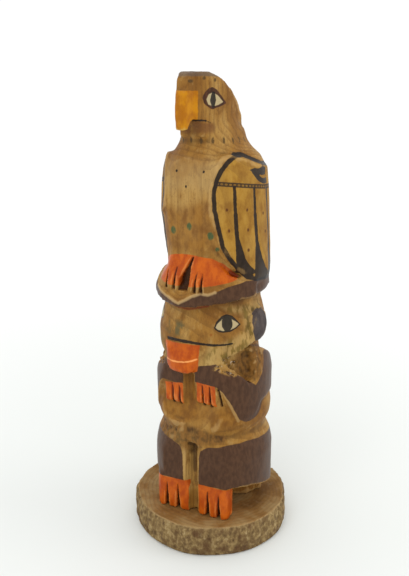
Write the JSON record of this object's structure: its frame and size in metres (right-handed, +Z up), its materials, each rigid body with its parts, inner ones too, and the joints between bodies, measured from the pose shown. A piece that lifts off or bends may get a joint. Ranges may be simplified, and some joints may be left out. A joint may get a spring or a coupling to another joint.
{
  "type": "totem pole",
  "caption": "Small carved and painted wooden totem pole: an eagle with folded wings on a perch above a seated bear with its tongue out, on a slice of log.",
  "frame": {"origin": "middle of the log slice's underside, on the table", "axes": "+Z up the pole; the figures look along -Y; their own left side is +X"},
  "size_m": [0.099, 0.0982, 0.2794],
  "materials": {
    "pole": "carved bare wood with brown, orange, yellow, black and green paint",
    "base": "sawn log slice, dull brown stain, bark left on"
  },
  "bodies": {
    "root": {"pole": "pole", "base": "base"}
  },
  "joints": []
}
